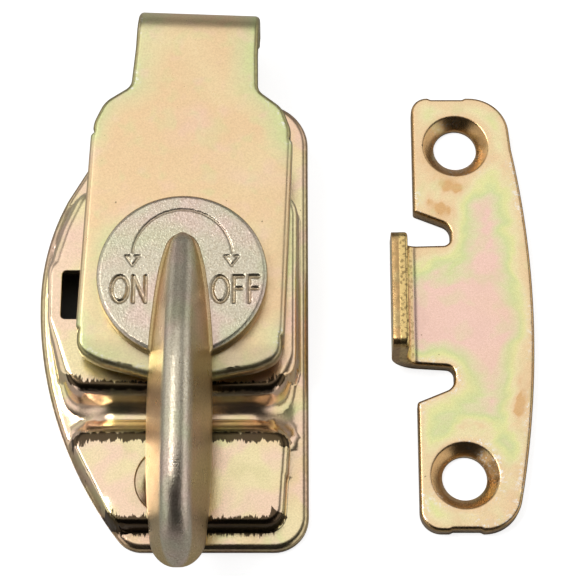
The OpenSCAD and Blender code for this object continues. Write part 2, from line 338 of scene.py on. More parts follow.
def attribute(tree, name):
    """A number that the mesh keeps at each vertex."""
    node = tree.nodes.new("ShaderNodeAttribute")
    node.attribute_name = name
    return node.outputs["Fac"]


def film_colour(tree, place, reach, wander, stops):
    """The chromate's interference colour, which changes with the distance in from an edge, unevenly."""
    depth = spread(tree, attribute(tree, "inner"), 0, reach, 0, 1)
    drift = spread(tree, noise(tree, place, 90, detail=4, rough=0.55, warp=0.5), 0.3, 0.7, -wander, wander)
    return ramp(tree, maths(tree, "MULTIPLY_ADD", drift, smooth(tree, depth, 0, 0.35), depth), stops)


def add_wear(tree, place, colour):
    """Pale flecks where handling has rubbed the plate near its edges."""
    near = maths(tree, "SUBTRACT", 1.0, smooth(tree, attribute(tree, "inner"), 0.5, 1.5))
    rubbed = maths(tree, "MULTIPLY", near, smooth(tree, noise(tree, place, 140, detail=2), 0.42, 0.6))
    fleck = smooth(tree, noise(tree, place, 2300, detail=3, rough=0.7), 0.53, 0.62)
    clear = maths(tree, "SUBTRACT", 1.0, attribute(tree, "mark"))
    amount = maths(tree, "MULTIPLY", maths(tree, "MULTIPLY", rubbed, fleck), clear)
    return mixed(tree, maths(tree, "MULTIPLY", amount, 0.8), colour, RUBBED)


def silvered(tree, place, colour, grey, pink, green):
    """Bare metal with faint pink and green patches, where the mesh is worn."""
    worn = tinted(tree, place, mixed(tree, 0.0, grey, grey), pink, 210, 0.42, 0.64, 5.0, 0.65)
    worn = tinted(tree, place, worn, green, 170, 0.46, 0.7, 9.0, 0.6)
    return mixed(tree, attribute(tree, "worn"), colour, worn)


def add_grain(tree, place, colour, fine, grain):
    """Fine browner grain and a few dark pits."""
    colour = mixed(tree, spread(tree, fine, 0.3, 0.7, 0, grain * 1.6), colour, GRAIN_BROWN, "MULTIPLY")
    pits = smooth(tree, noise(tree, place, 1500, detail=1), 0.79, 0.81)
    return mixed(tree, maths(tree, "MULTIPLY", pits, 0.7), colour, PIT_BROWN)


def add_mark(tree, place, colour, dark, most):
    """The dark colour of a cut edge or an engraving, unevenly, where the mesh is marked."""
    uneven = spread(tree, noise(tree, place, 1700, detail=2), 0.3, 0.7, 0.55 * most, most)
    return mixed(tree, maths(tree, "MULTIPLY", attribute(tree, "mark"), uneven), colour, dark)


def add_torn(tree, place, colour, fine, torn, dark):
    """A rough cut with dark pocks. Returns its colour and height."""
    coarse = noise(tree, place, 2100, detail=2, rough=0.6)
    rough_cut = attribute(tree, "torn")
    colour = mixed(tree, rough_cut, colour, torn)
    pocks = maths(tree, "MULTIPLY", rough_cut, smooth(tree, coarse, 0.5, 0.62))
    colour = mixed(tree, maths(tree, "MULTIPLY", pocks, 0.75), colour, dark)
    return colour, maths(tree, "MULTIPLY_ADD", maths(tree, "MULTIPLY", rough_cut, coarse), 4.0, fine)


def add_painted_shade(tree, place, colour, fine, most):
    """Painted shade: ragged dark bands on the bends, standing in for their shade and dark reflections.
    Returns their colour and height.
    """
    stretched = tree.nodes.new("ShaderNodeMapping")
    stretched.inputs["Scale"].default_value = (1, 0.12, 0.3)
    tree.links.new(place, stretched.inputs["Vector"])
    streak = noise(tree, stretched.outputs[0], 2600, detail=3, rough=0.65)
    painted_shade = attribute(tree, "painted_shade")
    reach = maths(tree, "MULTIPLY_ADD", streak, 3.2, maths(tree, "MULTIPLY_ADD", painted_shade, 1.6, -2.4))
    shade_amount = maths(tree, "MULTIPLY", smooth(tree, reach, 0.0, 0.2), most)
    height = maths(tree, "MULTIPLY_ADD", maths(tree, "MULTIPLY", painted_shade, streak), 3.0, fine)
    # The painted shade is mixed into the colour here, and the same mask adds a little bump.
    return mixed(tree, shade_amount, colour, PAINTED_SHADE_BROWN), height


def plated(name, tints, base=None, film=None, shine=0.26, grain=0.1, relief=0.02, dark=None, dark_mix=0.0,
           silver=None, torn=None, painted_shade=0.0):
    """Yellow chromate over zinc, coloured base all over, or by film, which is (reach, wander, stops), from
    the edges in. tints are (colour, scale, low, high, seed, amount). dark and dark_mix are for marked edges,
    silver for a worn ridge, torn for a rough cut, and drawn for the painted shade on the bends."""
    mat, tree, bsdf = shader_tree(name)
    place = tree.nodes.new("ShaderNodeTexCoord").outputs["Object"]
    colour = film_colour(tree, place, *film) if film else mixed(tree, 0.0, base, base)
    for tint, scale, low, high, seed, amount in tints:
        colour = tinted(tree, place, colour, tint, scale, low, high, seed, amount)
    if silver:
        colour = silvered(tree, place, colour, *silver)
    fine = noise(tree, place, 4600, detail=2, rough=0.6)
    colour = add_grain(tree, place, colour, fine, grain)
    if dark:
        colour = add_mark(tree, place, colour, dark, dark_mix)
    if film:
        colour = add_wear(tree, place, colour)
    height = fine
    if torn:
        colour, height = add_torn(tree, place, colour, fine, torn, dark)
    # Painted shade on the bends, where it is asked for.
    if painted_shade:
        colour, height = add_painted_shade(tree, place, colour, fine, painted_shade)
    tree.links.new(colour, bsdf.inputs["Base Color"])
    bsdf.inputs["Metallic"].default_value = 1
    cloud = noise(tree, place, 420, detail=3, rough=0.6)
    tree.links.new(spread(tree, cloud, 0.3, 0.7, shine * 0.85, shine * 1.2), bsdf.inputs["Roughness"])
    bump = tree.nodes.new("ShaderNodeBump")
    bump.inputs["Strength"].default_value = min(1.0, grain * 4)
    bump.inputs["Distance"].default_value = relief * MM
    tree.links.new(height, bump.inputs["Height"])
    tree.links.new(bump.outputs["Normal"], bsdf.inputs["Normal"])
    return mat


def housing_finish():
    """Glossy and straw-coloured, with painted shade on the bends beside the trough and at the pad's ends."""
    tints = [(PEACH, 60, 0.42, 0.6, 3, 1), (PINK, 85, 0.52, 0.72, 8, 0.7), (LIME, 95, 0.55, 0.72, 12, 0.8),
             (PINK, 260, 0.45, 0.64, 21, 0.6), (OLIVE, 330, 0.54, 0.76, 14, 0.25)]
    return plated("housing_plate", tints, STRAW, shine=0.22, grain=0.13, dark=(0.22, 0.13, 0.05),
                  dark_mix=0.6, painted_shade=0.94)


def hook_finish():
    """Satin, and greener towards its edges."""
    tints = [(STRAW, 110, 0.45, 0.75, 2, 0.45), (PINK, 130, 0.5, 0.78, 31, 0.5),
             (LIME, 420, 0.52, 0.72, 17, 0.3), (PINK, 380, 0.54, 0.74, 5, 0.3)]
    return plated("hook_plate_finish", tints, film=HOOK_FILM, shine=0.32, grain=0.15,
                  dark=(0.27, 0.21, 0.09), dark_mix=0.85)


def strike_finish():
    """Iridescent from the edges in, with a rough cut on the tab."""
    tints = [(PEACH, 60, 0.52, 0.75, 4, 0.4), (LIME, 400, 0.52, 0.72, 7, 0.3)]
    return plated("strike_finish", tints, film=STRIKE_FILM, grain=0.12, dark=(0.25, 0.17, 0.07),
                  dark_mix=0.8, torn=(0.80, 0.58, 0.24))


def cast_finish():
    """Brownish plate on a grainy casting, worn to bare metal on top."""
    tints = [((0.78, 0.56, 0.34), 130, 0.48, 0.66, 6, 1)]
    silver = (0.74, 0.68, 0.54), (0.85, 0.64, 0.57), (0.67, 0.73, 0.48)
    return plated("cast_finish", tints, (0.68, 0.52, 0.26), shine=0.3, grain=0.34, relief=0.05,
                  dark=(0.30, 0.20, 0.09), dark_mix=0.8, silver=silver)


def zinc_finish():
    """Plain zinc, for the small pieces inside."""
    return plated("zinc_finish", [((0.7, 0.7, 0.68), 200, 0.45, 0.6, 1, 1)], (0.6, 0.6, 0.6), shine=0.3)


def bush_finish():
    """Machined brass."""
    return plated("bush_finish", [((0.6, 0.42, 0.18), 200, 0.45, 0.6, 1, 1)], (0.7, 0.5, 0.22), shine=0.3)


# ---------------------------------------------------------------- housing

ROOF = span("base_plate", 2)[1]
SHEET = 1.5                      # thickness of the housing's sheet
PAD = 4.6                        # height of the pad
PAD_MID = -22                    # a place along the middle of the pad
SADDLE = 1.8                     # how far the trough between pocket and pad is above the flange
SADDLE_HALF, SADDLE_EASE = 13.6, 5.5    # half of the trough's length, and how far it slopes at each end
SOUTH = -10                      # the pocket's bends are wider beyond this
POCKET_LIP, FOOT, FOOT_SOUTH = 1.7, 0.45, 2.3    # radii of the pocket's bends
PAD_LIP, PAD_LIP_NORTH, PAD_FOOT = 1.0, 3.3, 0.3    # and of the pad's
SCREW_R, SINK_R, SINK_DEPTH = 2.725, 4.0, 1.3
LEFT, RIGHT = span("base_plate", 0)
TAIL, HEAD = span("base_plate", 1)


def wall(p, top, root, high, r_top, r_root):
    """How far the sheet has dropped from the raised area inside top to the flat outside root. The wall is
    straight between two round bends, and the bends shrink where the wall is narrow."""
    out = np.where(inside(p, top), 0, distance(p, top))
    left = np.where(inside(p, root), distance(p, root), 0)
    width = np.maximum(out + left, 1e-6)
    room = np.where(high < width, (width ** 2 + high ** 2) / (2 * high), width)
    fit = np.minimum(1, 0.96 * room / (r_top + r_root))
    r, q = r_top * fit, r_root * fit
    across = np.hypot(width, high - r - q)
    slope = np.arctan2(high - r - q, width) + np.arcsin(np.clip((r + q) / across, -1, 1))
    slope = np.minimum(slope, math.radians(88))
    near, far = r * np.sin(slope), q * np.sin(slope)
    upper = r - np.sqrt(np.maximum(r * r - np.minimum(out, near) ** 2, 0))
    lower = high - q + np.sqrt(np.maximum(q * q - np.minimum(left, far) ** 2, 0))
    first, last = r * (1 - np.cos(slope)), high - q * (1 - np.cos(slope))
    t = np.clip((out - near) / np.maximum(width - near - far, 1e-6), 0, 1)
    drop = np.where(out < near, upper, np.where(left < far, lower, first + (last - first) * t))
    return np.where(out == 0, 0, np.where(left == 0, high, drop))


def rings_between(top, root, steps):
    """Points on even contours from one outline out to the other, so that a bend is smooth."""
    width = distance(top, root)
    out = -inward(top)
    steps = 0.5 - 0.5 * np.cos(np.linspace(0, math.pi, steps))
    return np.vstack([top + out * (width * t)[:, None] for t in steps])


def grid(x0, x1, y0, y1, step):
    """Points in rows, with every other row shifted half a step."""
    x, y = np.meshgrid(np.arange(x0, x1, step), np.arange(y0, y1, step))
    x = x + np.where(np.arange(len(x)) % 2, step / 2, 0)[:, None]
    return np.c_[x.ravel(), y.ravel()]


def housing_outline():
    """The flange's edge: straight on the right, and bowed on the left."""
    return rounded([(RIGHT, TAIL, 4.2), (RIGHT, HEAD, 6), (-7.6, HEAD, 3)]
                   + arc(LEFT + 30.3, 1.5, 30.3, 154.5, 180, 0.8)
                   + arc(LEFT + 50.7, 1.5, 50.7, 181, 216, 0.8) + [(-6.6, TAIL, 3.6)])


def contours():
    """The edge of the pocket's roof, the foot of its wall, the edge of the pad and the foot of its wall."""
    pocket = rounded([(12.9, 12.8, 2.3), (-12.1, 12.8, 1.6), (-13.9, 8.6, 8), (-15.2, 4.0, 0.8),
                      (-16.1, 3.3, 0.8), (-16.0, -3.0, 1.0), (-15.0, -5.3, 3), (-12.9, -11.0, 1.8),
                      (0, -11.35, 30), (10.9, -11.2, 1.5), (12.8, -7.6, 2.5)])
    pocket_foot = rounded([(14.1, 14.6, 3.4), (-14.9, 14.6, 2.8), (-16.7, 9.0, 10), (-17.15, 4.0, 8),
                           (-16.7, -4.5, 6), (-14.9, -14.8, 2.8), (0, -14.95, 30), (13.2, -14.8, 3),
                           (14.1, -8.8, 3)])
    pad = rounded([(11.2, -27.5, 1.6), (11.8, -18.0, 0.6), (-12.8, -18.0, 0.6), (-7.9, -27.5, 1.5)])
    pad_foot = rounded([(12.4, -28.7, 2.4), (13.1, -15.0, 2.9), (-15.1, -15.0, 2.4), (-8.4, -28.7, 2.2)])
    return pocket, pocket_foot, pad, pad_foot


def rise(p, pocket, pocket_foot, pad, pad_foot):
    """How far the sheet is above the flange at each point."""
    deep, shallow = ROOF - SHEET, PAD - SHEET
    t = np.clip((SADDLE_HALF - np.abs(p[:, 0])) / SADDLE_EASE, 0, 1)
    saddle = SADDLE * t * t * (3 - 2 * t) * (p[:, 1] > PAD_MID) * (p[:, 1] < 0)
    foot = np.where(p[:, 1] < SOUTH, FOOT_SOUTH, FOOT)
    lip = np.where(p[:, 1] > PAD_MID, PAD_LIP_NORTH, PAD_LIP)
    from_pocket = deep - saddle - wall(p, pocket, pocket_foot, deep - saddle, POCKET_LIP, foot)
    from_pad = shallow - saddle - wall(p, pad, pad_foot, shallow - saddle, lip, PAD_FOOT)
    return saddle + from_pocket + from_pad


def housing_points(edges, steps):
    """The inner points of one face: even contours down the walls, and a grid on the flats."""
    flat = grid(LEFT, RIGHT, TAIL, HEAD, 1.0)
    keep = np.full(len(flat), True)
    rings = []
    for top, foot in (edges[:2], edges[2:]):
        off = np.where(inside(flat, foot), -1, distance(flat, foot))
        keep &= np.where(inside(flat, top), distance(flat, top), off) > 0.35
        rings.append(rings_between(top, foot, steps))
    return np.vstack([*rings, flat[keep]])


def painted_shade_bands(p, pocket, pad):
    """How strongly painted shade darkens the bends beside the trough and at the pad's ends, in bands."""
    painted_shade = np.zeros(len(p))
    for top, reach, near in ((pocket, 1.2, p[:, 1] < -10.1), (pad, 1.3, p[:, 1] > -18.9),
                             (pad, 1.5, p[:, 1] < -26.6)):
        out = np.where(inside(p, top), -distance(p, top), distance(p, top))
        band = np.clip((out + 0.6) / 0.9, 0, 1) * np.clip((reach - out) / 0.5, 0, 1)
        painted_shade = np.maximum(painted_shade, band * near)
    return painted_shade


def housing_loops():
    """The outline and the holes, each with its edge."""
    window = rounded([(-15.0, 3.1, 0.5), (-10.6, 3.1, 0.5), (-10.6, -3.1, 0.5), (-15.0, -3.1, 0.5)])
    rivet_x, rivet_y = span("guide_rivets", 0)[1] - 2.4, sum(span("guide_rivets", 1)) / 2
    plain = edge_profile(SHEET, PLAIN)
    return [(housing_outline(), edge_profile(SHEET, 0.85)),
            (window, plain),
            (circle(-1.4, -23, SINK_R), sink_profile(SHEET, SINK_R, SCREW_R, SINK_DEPTH)),
            (circle(0, 0, 3.4), plain),
            (circle(rivet_x, rivet_y, 1.5), plain),
            (circle(-rivet_x, rivet_y, 1.5), plain)]


def make_housing():
    """The stamped housing, as one sheet raised over its contours."""
    outer = contours()
    under = [edge + inward(edge) * (SHEET * 0.75) for edge in outer]

    def place(x, y, depth):
        p = np.c_[x, y]
        w = depth / SHEET
        return np.c_[x, y, (rise(p, *outer) + SHEET) * (1 - w) + rise(p, *under) * w]

    points = housing_points(outer, 17), housing_points(under, 9)
    housing = sheet("housing", housing_loops(), points, place)
    p = np.array([v.co[:2] for v in housing.data.vertices]) / MM
    # Where painted shade darkens the bends beside the trough and at the pad's ends.
    keep_values(housing.data, "painted_shade", painted_shade_bands(p, outer[0], outer[2]))
    return housing


# ---------------------------------------------------------------- hook plate

HOOK_T = 2.0
HOOK_TOP = span("hook_plate", 2)[1]
LIP_END = 2.5                    # height of the hook's lower edge
HALF = 12.45                     # to the outer face of a side flange
BEND = 0.8                       # outer radius of a side bend
SIDE = HOOK_TOP - ROOF - 0.05 - BEND
NOSE = 4.5                       # outer radius of the hook's bend
LEAN = math.radians(12)          # how far the hook leans back past upright
REACH = 37.6                     # to the hook's nose, along the plate
SKEW = math.radians(2.2)         # how far the plate is turned in its play
THROW, CAM_R, SLOT_GAP = 2.6, 5.6, 0.5    # the eccentric, and the slot's room round it
FLANGE_FROM, FLANGE_TO = -6.5, 19.3       # the side flanges' ends
FLANGE_EASE = 0.3                # over which a side bend runs out
DROOP_FROM = FLANGE_FROM - 0.4   # the tail slopes down beyond this
DROOP, DROOP_EASE = 0.16, 0.5    # its slope, and how gently it begins
NECK = 7.65                      # half width of the hook's neck


def place_hook(x, y, depth):
    """Folds the flat blank: side flanges down, hook over the nose, and the tail drooping a little."""
    flat = HALF - BEND
    beyond = np.maximum(y - FLANGE_TO, FLANGE_FROM - y)
    bent = np.clip(1 - beyond / FLANGE_EASE, 0, 1) ** 2
    ax = np.abs(x)
    a = np.clip((ax - flat) / BEND, 0, math.pi / 2) * bent
    past = np.maximum(ax - flat - BEND * math.pi / 2, 0)
    px = np.where(ax > flat, flat + BEND * np.sin(a) + (1 - bent) * (ax - flat), ax) - depth * np.sin(a)
    px = np.where((bent > 0) & (ax > flat - HOOK_T), np.minimum(px, HALF - depth * bent), px)
    pz = np.minimum(-BEND * (1 - np.cos(a)) - past - depth * np.cos(a), -depth)
    start = REACH - NOSE
    b = np.clip((y - start) / NOSE, 0, math.pi / 2 + LEAN)
    drop = np.maximum(y - start - NOSE * (math.pi / 2 + LEAN), 0)
    down, back = math.cos(LEAN), math.sin(LEAN)
    py = np.where(y > start, start + (NOSE - depth) * np.sin(b) - drop * back, y)
    hz = -NOSE + (NOSE - depth) * np.cos(b) - drop * down
    pz = np.where(y > start, hz, pz)
    tail = np.maximum(DROOP_FROM - y, 0)
    pz = pz - DROOP * (tail - DROOP_EASE * (1 - np.exp(-tail / DROOP_EASE)))
    sx = np.sign(x) * px
    c, s = math.cos(-SKEW), math.sin(-SKEW)
    return np.c_[sx * c - py * s, sx * s + py * c, HOOK_TOP + pz]


def make_hook():
    """The sliding hook plate, cut as a flat blank and folded."""
    wing = HALF - BEND + BEND * math.pi / 2 + SIDE
    lip = (HOOK_TOP - NOSE - NOSE * math.sin(LEAN) - LIP_END) / math.cos(LEAN)
    tip = REACH - NOSE + NOSE * (math.pi / 2 + LEAN) + lip
    crease = HALF - BEND
    half = [(9.4, -10.5, 7), (12.2, -9.1, 2.2), (12.2, FLANGE_FROM, 0.12), (wing, FLANGE_FROM, 0.8),
            (wing, FLANGE_TO, 0.8), (12.2, FLANGE_TO, 0.12), (12.15, 20.6, 3), (11.05, 23.4, 3.5),
            (NECK + 0.25, 25.7, 1.6), (NECK, 31, 20), (NECK, tip, 0.9)]
    outline = rounded([(0, -12.6, 12)] + half + [(-x, y, r) for x, y, r in half[::-1]])
    slot_r = CAM_R + SLOT_GAP
    slot = np.array([p[:2] for p in arc(0, 0, slot_r, 90, -90) + arc(-THROW, 0, slot_r, 270, 90)])
    bend_x = crease + BEND * np.radians(np.arange(0, 91, 9))
    xs = np.r_[np.arange(0, crease - 0.3, 0.9), bend_x, np.arange(bend_x[-1] + 0.8, wing, 0.9)]
    xs = np.r_[-xs[:0:-1], xs]
    tail = np.arange(-7, -10, -0.3)
    nose = REACH - NOSE + NOSE * np.radians(np.arange(0, 103, 6))
    ys = np.r_[np.arange(-12, -10, 0.6), tail, np.arange(-6, REACH - NOSE - 0.4, 0.8), nose,
               np.arange(nose[-1] + 0.7, tip, 0.8)]
    points = np.array([(x, y) for y in ys for x in xs])
    loops = [(outline, edge_profile(HOOK_T, 0.6)), (slot, edge_profile(HOOK_T, PLAIN))]
    return sheet("hook_slide_plate", loops, (points, points), place_hook)


# ---------------------------------------------------------------- strike plate

STRIKE_T = 2.0
TAB_X = span("strike_plate", 0)[0]
TAB_H = span("strike_plate", 2)[1]
TAB_BEND = 1.6                   # inner radius of the tab's bend
STRIKE_RIGHT = span("strike_plate", 0)[1]
STRIKE_HALF = span("strike_plate", 1)[1]


def place_strike(x, y, depth):
    """Folds the tongue of the flat blank up into the tab."""
    root = TAB_X + STRIKE_T + TAB_BEND
    middle = TAB_BEND + STRIKE_T / 2
    bent = (np.abs(y) < 8.3) & (x < root)
    b = np.where(bent, np.clip((root - x) / middle, 0, math.pi / 2), 0)
    up = np.where(bent, np.maximum(root - x - middle * math.pi / 2, 0), 0)
    r = TAB_BEND + depth
    px = np.where(bent, root - r * np.sin(b), x)
    pz = np.where(bent, STRIKE_T + TAB_BEND - r * np.cos(b) + up, STRIKE_T - depth)
    return np.c_[px, y, pz]


def make_strike():
    """The strike plate with its two countersunk holes and its tab."""
    root = TAB_X + STRIKE_T + TAB_BEND
    middle = TAB_BEND + STRIKE_T / 2
    end = root - middle * math.pi / 2 - (TAB_H - STRIKE_T - TAB_BEND)
    left, bow, notch, step = 28.35, 124.4, 32.9, 0.2
    cut = STRIKE_HALF - step
    outline = rounded([(39.9, -STRIKE_HALF, 4.6)]
                      + arc(STRIKE_RIGHT - bow, -0.8, bow, -10.4, 10.2, 0.8)
                      + [(40.3, STRIKE_HALF, 5), (35.3, STRIKE_HALF, 0.4), (34.9, cut, 0.4), (30.9, cut, 0.4),
                         (30.5, STRIKE_HALF, 0.4), (left, STRIKE_HALF, 2.0), (left, 12.6, 0.4),
                         (notch, 10.75, 1.5), (notch, 8.1, 0.95), (31.6, 8.1, 0), (end, 7.8, 1.3),
                         (end, -7.1, 1.1), (31.6, -7.8, 0), (notch, -7.9, 0.95), (notch, -10.5, 1.5),
                         (left, -12.4, 0.4), (left, -STRIKE_HALF, 2.6), (31.9, -STRIKE_HALF, 0.4),
                         (32.3, -cut, 0.4), (35.6, -cut, 0.4), (36.0, -STRIKE_HALF, 0.4)])
    hole_x, pitch = 33.9, 43.3
    holes = [(circle(hole_x, s * pitch / 2, SINK_R), sink_profile(STRIKE_T, SINK_R, SCREW_R, SINK_DEPTH))
             for s in (-1, 1)]
    bend_x = root - middle * np.radians(np.arange(0, 91, 7.5))
    xs = np.r_[np.arange(end + 0.6, bend_x[-1] - 0.3, 0.7), bend_x[::-1]]
    tongue = np.array([(x, y) for x in xs for y in np.arange(-7.4, 7.8, 0.7)])
    plate = grid(left, STRIKE_RIGHT, -STRIKE_HALF, STRIKE_HALF, 1.0)
    plate = plate[plate[:, 0] > root + 0.4]
    points = np.vstack([tongue, plate])
    loops = [(outline, edge_profile(STRIKE_T, 0.4))] + holes
    strike = sheet("strike", loops, (points, points), place_strike)
    verts = np.array([v.co for v in strike.data.vertices]) / MM
    cut_face = (verts[:, 2] > TAB_H - 0.25) & (verts[:, 0] > TAB_X + STRIKE_T * 0.45)
    inner_face = (verts[:, 0] > TAB_X + 1) & (verts[:, 0] < root - 0.25) & (verts[:, 2] > STRIKE_T + 0.2)
    torn = np.where(cut_face, 1.0, np.where(inner_face, 0.7, 0.0))
    keep_values(strike.data, "torn", torn)
    return strike


# ---------------------------------------------------------------- lever

KNOB_R = 10.16
KNOB_LOW = HOOK_TOP + 0.05
KNOB_TOP = KNOB_LOW + 2.35
TIP = -span("lever", 1)[0]
POST_R = 2.2

# Along the lever from the pivot to the tip: ridge height, underside, half width, radius of the ridge.
START = -5.2
WHERE = [START, -4.5, -3, -1, 2, 5.5, 9, 12.5, 16, 20, 24, 27, 29, 31, 33, TIP]
RIDGE = [14.4, 14.7, 15.3, 16.2, 17.4, 18.9, 20.2, 20.85, 20.98, 20.98, 20.9, 20.4, 19.6, 18.1, 15.8, 12.8]
UNDER = [12.2, 12.2, 12.2, 12.2, 12.2, 12.2, 12.2, 12.3, 12.4, 12.1, 11.7, 11.3, 10.9, 10.6, 10.4, 10.3]
WIDTH = [1.2, 1.45, 1.95, 2.5, 2.95, 3.3, 3.55, 3.75, 3.85, 3.84, 3.8, 3.65, 3.5, 3.3, 3.1, 3.0]
ROUND = [1.0, 1.2, 1.5, 1.7, 1.75, 1.75, 1.75, 1.75, 1.75, 1.75, 1.8, 1.8, 1.8, 1.8, 1.8, 1.8]
HEEL, TOE = 1.7, 3.1             # lengths over which the lever's two ends are rounded off


def eased(values, s):
    """Straight-line stations smoothed over a short length."""
    reach = np.linspace(-1.4, 1.4, 9)
    weight = np.cos(reach / 1.4 * math.pi / 2 * 0.98)
    return float(np.interp(s + reach, WHERE, values) @ weight / weight.sum())


def lever_section(s):
    """Half of the section at s, as (x, z) from the ridge down to the middle of the underside."""
    top, low, half, ridge = (eased(v, s) for v in (RIDGE, UNDER, WIDTH, ROUND))
    toe = math.sqrt(max(0.0, 1 - (max(0.0, s - (TIP - TOE)) / TOE) ** 2))
    heel = math.sqrt(max(0.0, 1 - (max(0.0, START + HEEL - s) / HEEL) ** 2))
    middle = 0.45 * top + 0.55 * low
    top, low = middle + (top - middle) * toe ** 0.8, middle + (low - middle) * toe ** 0.8
    top = KNOB_TOP - 0.3 + (top - KNOB_TOP + 0.3) * (0.25 + 0.75 * heel) if heel < 1 else top
    half, ridge = half * toe * heel, ridge * toe * heel
    ridge = min(ridge, (top - low) * 0.48)
    mid = top - ridge
    foot = np.array([half, low + 0.55 * toe])
    away = foot - (0, mid)
    reach = max(np.linalg.norm(away), ridge * 1.0001 + 1e-9)
    tangent = math.atan2(away[1], away[0]) + math.acos(min(1.0, ridge / reach))
    points = [(ridge * math.cos(a), mid + ridge * math.sin(a)) for a in np.linspace(math.pi / 2, tangent, 9)]
    start = np.array(points[-1])
    fillet = 0.4 if s < KNOB_R - 0.6 else 0.0
    level = KNOB_TOP + np.array([1.6, 0.9, 0.4, 0.27, 0.15, 0.06, 0.0])
    even = start[1] + (foot[1] - start[1]) * np.linspace(0.12, 0.88, 7)
    blend = np.clip((s - KNOB_R) / 3, 0, 1)
    heights = np.minimum(level, start[1] - 0.02 * np.arange(1, 8)) * (1 - blend) + even * blend
    for z in heights:
        t = np.clip((start[1] - z) / max(start[1] - foot[1], 1e-6), 0, 1)
        h = min(max(z - KNOB_TOP, 0), fillet)
        flare = fillet - math.sqrt(max(fillet ** 2 - (fillet - h) ** 2, 0)) if fillet else 0
        points.append((start[0] + (foot[0] - start[0]) * t + flare * min(1, half / 1.2), z))
    points += [(foot[0], foot[1]), (foot[0] - 0.12 * toe * heel, foot[1] - 0.35 * toe),
               (foot[0] - 0.5 * toe * heel, foot[1] - 0.55 * toe), (foot[0] * 0.5, foot[1] - 0.55 * toe),
               (0, foot[1] - 0.55 * toe)]
    return points


def make_arm():
    """The arm as sections along the lever, closer together at its two rounded ends."""
    stations = np.r_[START + HEEL - HEEL * np.sin(np.linspace(math.pi / 2 - 0.02, 0, 22)),
                     np.linspace(START + HEEL, TIP - TOE, 75),
                     TIP - TOE + TOE * np.sin(np.linspace(0, math.pi / 2 - 0.02, 22))]
    stations = np.unique(np.round(stations, 4))
    verts, rings = [], []
    for s in stations:
        half = lever_section(s)
        loop = [(x, z) for x, z in half] + [(-x, z) for x, z in half[-2:0:-1]]
        rings.append(range(len(verts), len(verts) + len(loop)))
        verts += [(x, -s, z) for x, z in loop]
    faces = []
    n = len(rings[0])
    for a, b in zip(rings, rings[1:]):
        faces += [(a[i], a[(i + 1) % n], b[(i + 1) % n], b[i]) for i in range(n)]
    faces += [tuple(rings[0])[::-1], tuple(rings[-1])]
    return verts, faces


def stroke(points):
    """A pen stroke through the points."""
    return np.array(points, float)


def mark_strokes():
    """The generic marks on the disc: a double arrow over the lever and the words ON and OFF."""
    def ellipse(cx, cy, w, h):
        a = np.linspace(0, 2 * math.pi, 41)
        return stroke(np.c_[cx + w * np.cos(a), cy + h * np.sin(a)])
    low, high = -3.55, -0.35
    mid, tall = (low + high) / 2, (high - low) / 2
    words = [ellipse(-7.3, mid, 0.98, tall), stroke([(-5.7, low), (-5.7, high), (-4.25, low), (-4.25, high)]),
             ellipse(4.55, mid, 0.95, tall)]
    for x in (6.15, 8.0):
        words += [stroke([(x, low), (x, high), (x + 1.1, high)]),
                  stroke([(x, mid + 0.1), (x + 0.95, mid + 0.1)])]
    sweep = np.radians(np.linspace(6, 174, 61))
    lines = [stroke(np.c_[5.95 * np.cos(sweep), 2.1 + 6.1 * np.sin(sweep)])]
    for s in (-1, 1):
        tip = (s * 5.9, 1.0)
        lines += [stroke([(tip[0] + t * 0.32, 2.25), (tip[0] + t * 0.85, 2.25), tip]) for t in (-1, 1)]
    return words, lines


def stroke_distance(p, points):
    """Distance from each point to a stroke."""
    best = np.full(len(p), np.inf)
    for a, b in zip(points, points[1:]):
        t = np.clip((p - a) @ (b - a) / max((b - a) @ (b - a), 1e-12), 0, 1)
        best = np.minimum(best, np.linalg.norm(p - a - t[:, None] * (b - a), axis=1))
    return best


def engraving(p):
    """How deep the marks are cut at each point of the disc's top."""
    words, lines = mark_strokes()
    depth = np.zeros(len(p))
    for group, width in ((words, 0.52), (lines, 0.32)):
        d = np.min([stroke_distance(p, s) for s in group], axis=0)
        t = np.clip(1 - d / (width / 2), 0, 1)
        depth = np.maximum(depth, 0.2 * np.sqrt(1 - (1 - t) ** 2) * (width / 0.52))
    return depth


def make_knob():
    """The disc as a turned profile, with its marks pressed into the top."""
    radii = np.r_[np.linspace(0.4, 2.4, 6), np.arange(2.5, 9.6, 0.1)]
    rim = [(9.66, 0), (9.74, 0.02), (9.84, 0.07), (9.95, 0.14), (10.05, 0.22), (10.13, 0.33),
           (KNOB_R, 0.5), (KNOB_R, 1.2), (KNOB_R, 2.2), (10.08, 2.32), (9.9, 2.35), (6, 2.35),
           (POST_R, 2.35), (POST_R, 0.8), (1.0, 0.8)]
    profile = [(r, 0) for r in radii] + rim
    n = 480
    a = np.arange(n) * 2 * math.pi / n
    verts = [(0, 0, KNOB_TOP)]
    for r, drop in profile:
        verts += np.c_[r * np.cos(a), r * np.sin(a), np.full(n, KNOB_TOP - drop)].tolist()
    verts.append((0, 0, KNOB_TOP - 0.8))
    verts = np.array(verts)
    cut = len(radii) * n + 1
    verts[:cut, 2] -= engraving(verts[:cut, :2])
    faces = [(0, 1 + i, 1 + (i + 1) % n) for i in range(n)]
    for k in range(len(profile) - 1):
        s, t = 1 + k * n, 1 + (k + 1) * n
        faces += [(s + i, t + i, t + (i + 1) % n, s + (i + 1) % n) for i in range(n)]
    last, end = 1 + (len(profile) - 1) * n, len(verts) - 1
    faces += [(end, last + (i + 1) % n, last + i) for i in range(n)]
    return verts.tolist(), faces


